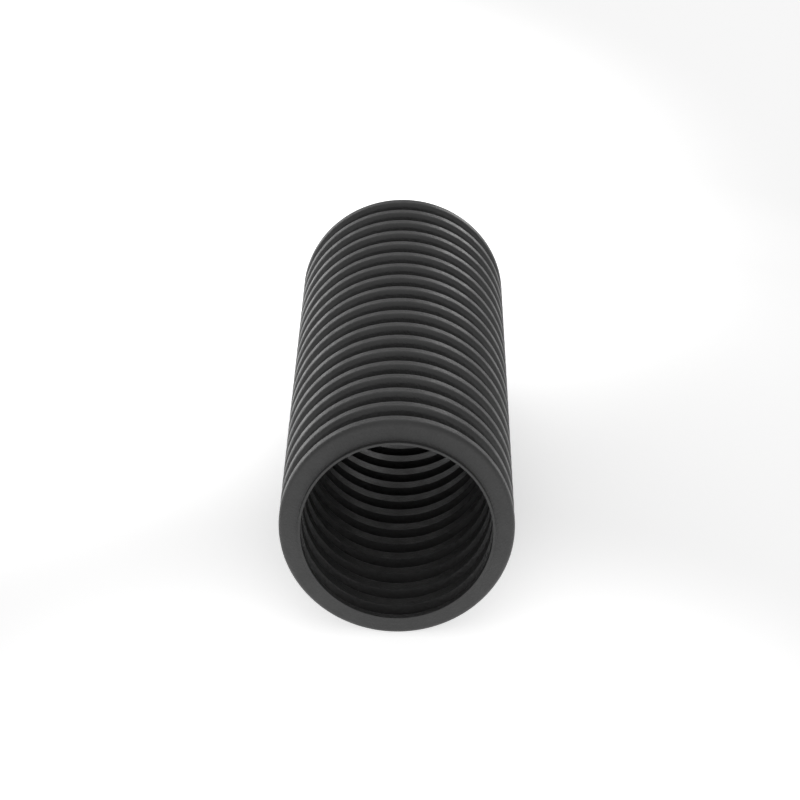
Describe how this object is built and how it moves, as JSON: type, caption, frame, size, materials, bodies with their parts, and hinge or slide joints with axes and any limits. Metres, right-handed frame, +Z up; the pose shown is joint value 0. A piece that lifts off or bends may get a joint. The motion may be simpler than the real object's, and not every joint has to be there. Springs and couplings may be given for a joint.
{
  "type": "corrugated loom tubing",
  "caption": "Short straight length of black corrugated plastic loom tubing, unslit and open at both ends, that bundles wires and cables and protects them from wear.",
  "frame": {"origin": "on the floor, under the middle of the tube's length: the centre of the bounding box's underside", "axes": "+Y along the tube's axis, +Z up with the tube lying on its side, +X across it"},
  "size_m": [0.0246, 0.068, 0.0246],
  "materials": {
    "black_loom_plastic": "satin black moulded polyethylene"
  },
  "bodies": {
    "root": {"corrugated_tube": "black_loom_plastic"}
  },
  "joints": []
}
